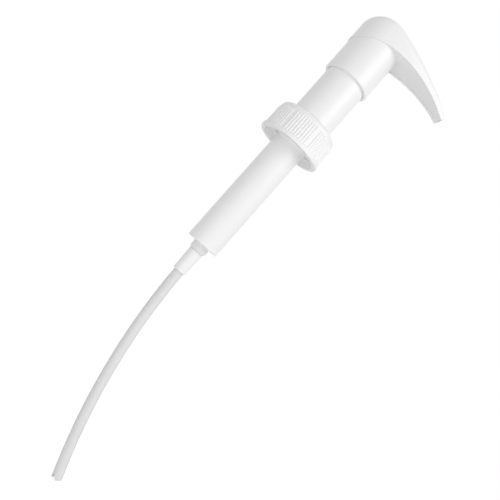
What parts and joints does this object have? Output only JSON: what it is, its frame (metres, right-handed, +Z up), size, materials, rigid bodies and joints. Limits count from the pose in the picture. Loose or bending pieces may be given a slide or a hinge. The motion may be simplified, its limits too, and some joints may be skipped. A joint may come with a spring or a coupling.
{
  "type": "canister dispensing pump",
  "caption": "Press-down dispensing pump for a canister, with a screw closure, a long drooping spout and a curved dip tube.",
  "frame": {"origin": "where the pump's axis crosses the plane of the canister neck's rim, at the gasket's underside", "axes": "+Z up along the pump's axis, from the dip tube to the head; +X from the axis towards the spout's tip"},
  "size_m": [0.1034, 0.0542, 0.422],
  "materials": {
    "white_plastic": "semi-gloss",
    "tube_plastic": "translucent satin",
    "seal_plastic": "milky satin",
    "gasket_foam": "matte",
    "steel": "bright drawn"
  },
  "bodies": {
    "housing": {"barrel": "white_plastic", "gasket": "gasket_foam", "guide_sleeve": "white_plastic", "stem_guide": "white_plastic", "stem_seal": "seal_plastic", "return_spring": "steel", "inlet_cage": "seal_plastic", "tube_connector": "white_plastic", "dip_tube": "tube_plastic"},
    "closure": {"closure": "white_plastic"},
    "inlet_ball": {"inlet_ball": "steel"},
    "piston": {"piston_seal": "seal_plastic"},
    "head": {"stem": "white_plastic", "piston_foot": "white_plastic", "head_body": "white_plastic", "spout_channel": "white_plastic", "head_cover": "white_plastic"},
    "outlet_ball": {"outlet_ball": "steel"}
  },
  "joints": [
    {"name": "closure_turn", "type": "hinge", "parent": "housing", "child": "closure", "pos_m": [0, 0, 0], "axis": [0, 0, 1], "continuous": true},
    {"name": "head_press", "type": "slide", "parent": "housing", "child": "piston", "axis": [0, 0, 1], "range_m": [-0.034, 0], "stiffness_N_per_m": 640, "springref_m": 0.016, "deforming": ["return_spring"]},
    {"name": "head_turn", "type": "hinge", "parent": "piston", "child": "head", "pos_m": [0, 0, 0], "axis": [0, 0, 1], "continuous": true},
    {"name": "outlet_ball_lift", "type": "slide", "parent": "head", "child": "outlet_ball", "axis": [0, 0, 1], "range_m": [0, 0.003]},
    {"name": "inlet_ball_lift", "type": "slide", "parent": "housing", "child": "inlet_ball", "axis": [0, 0, 1], "range_m": [0, 0.003]}
  ]
}
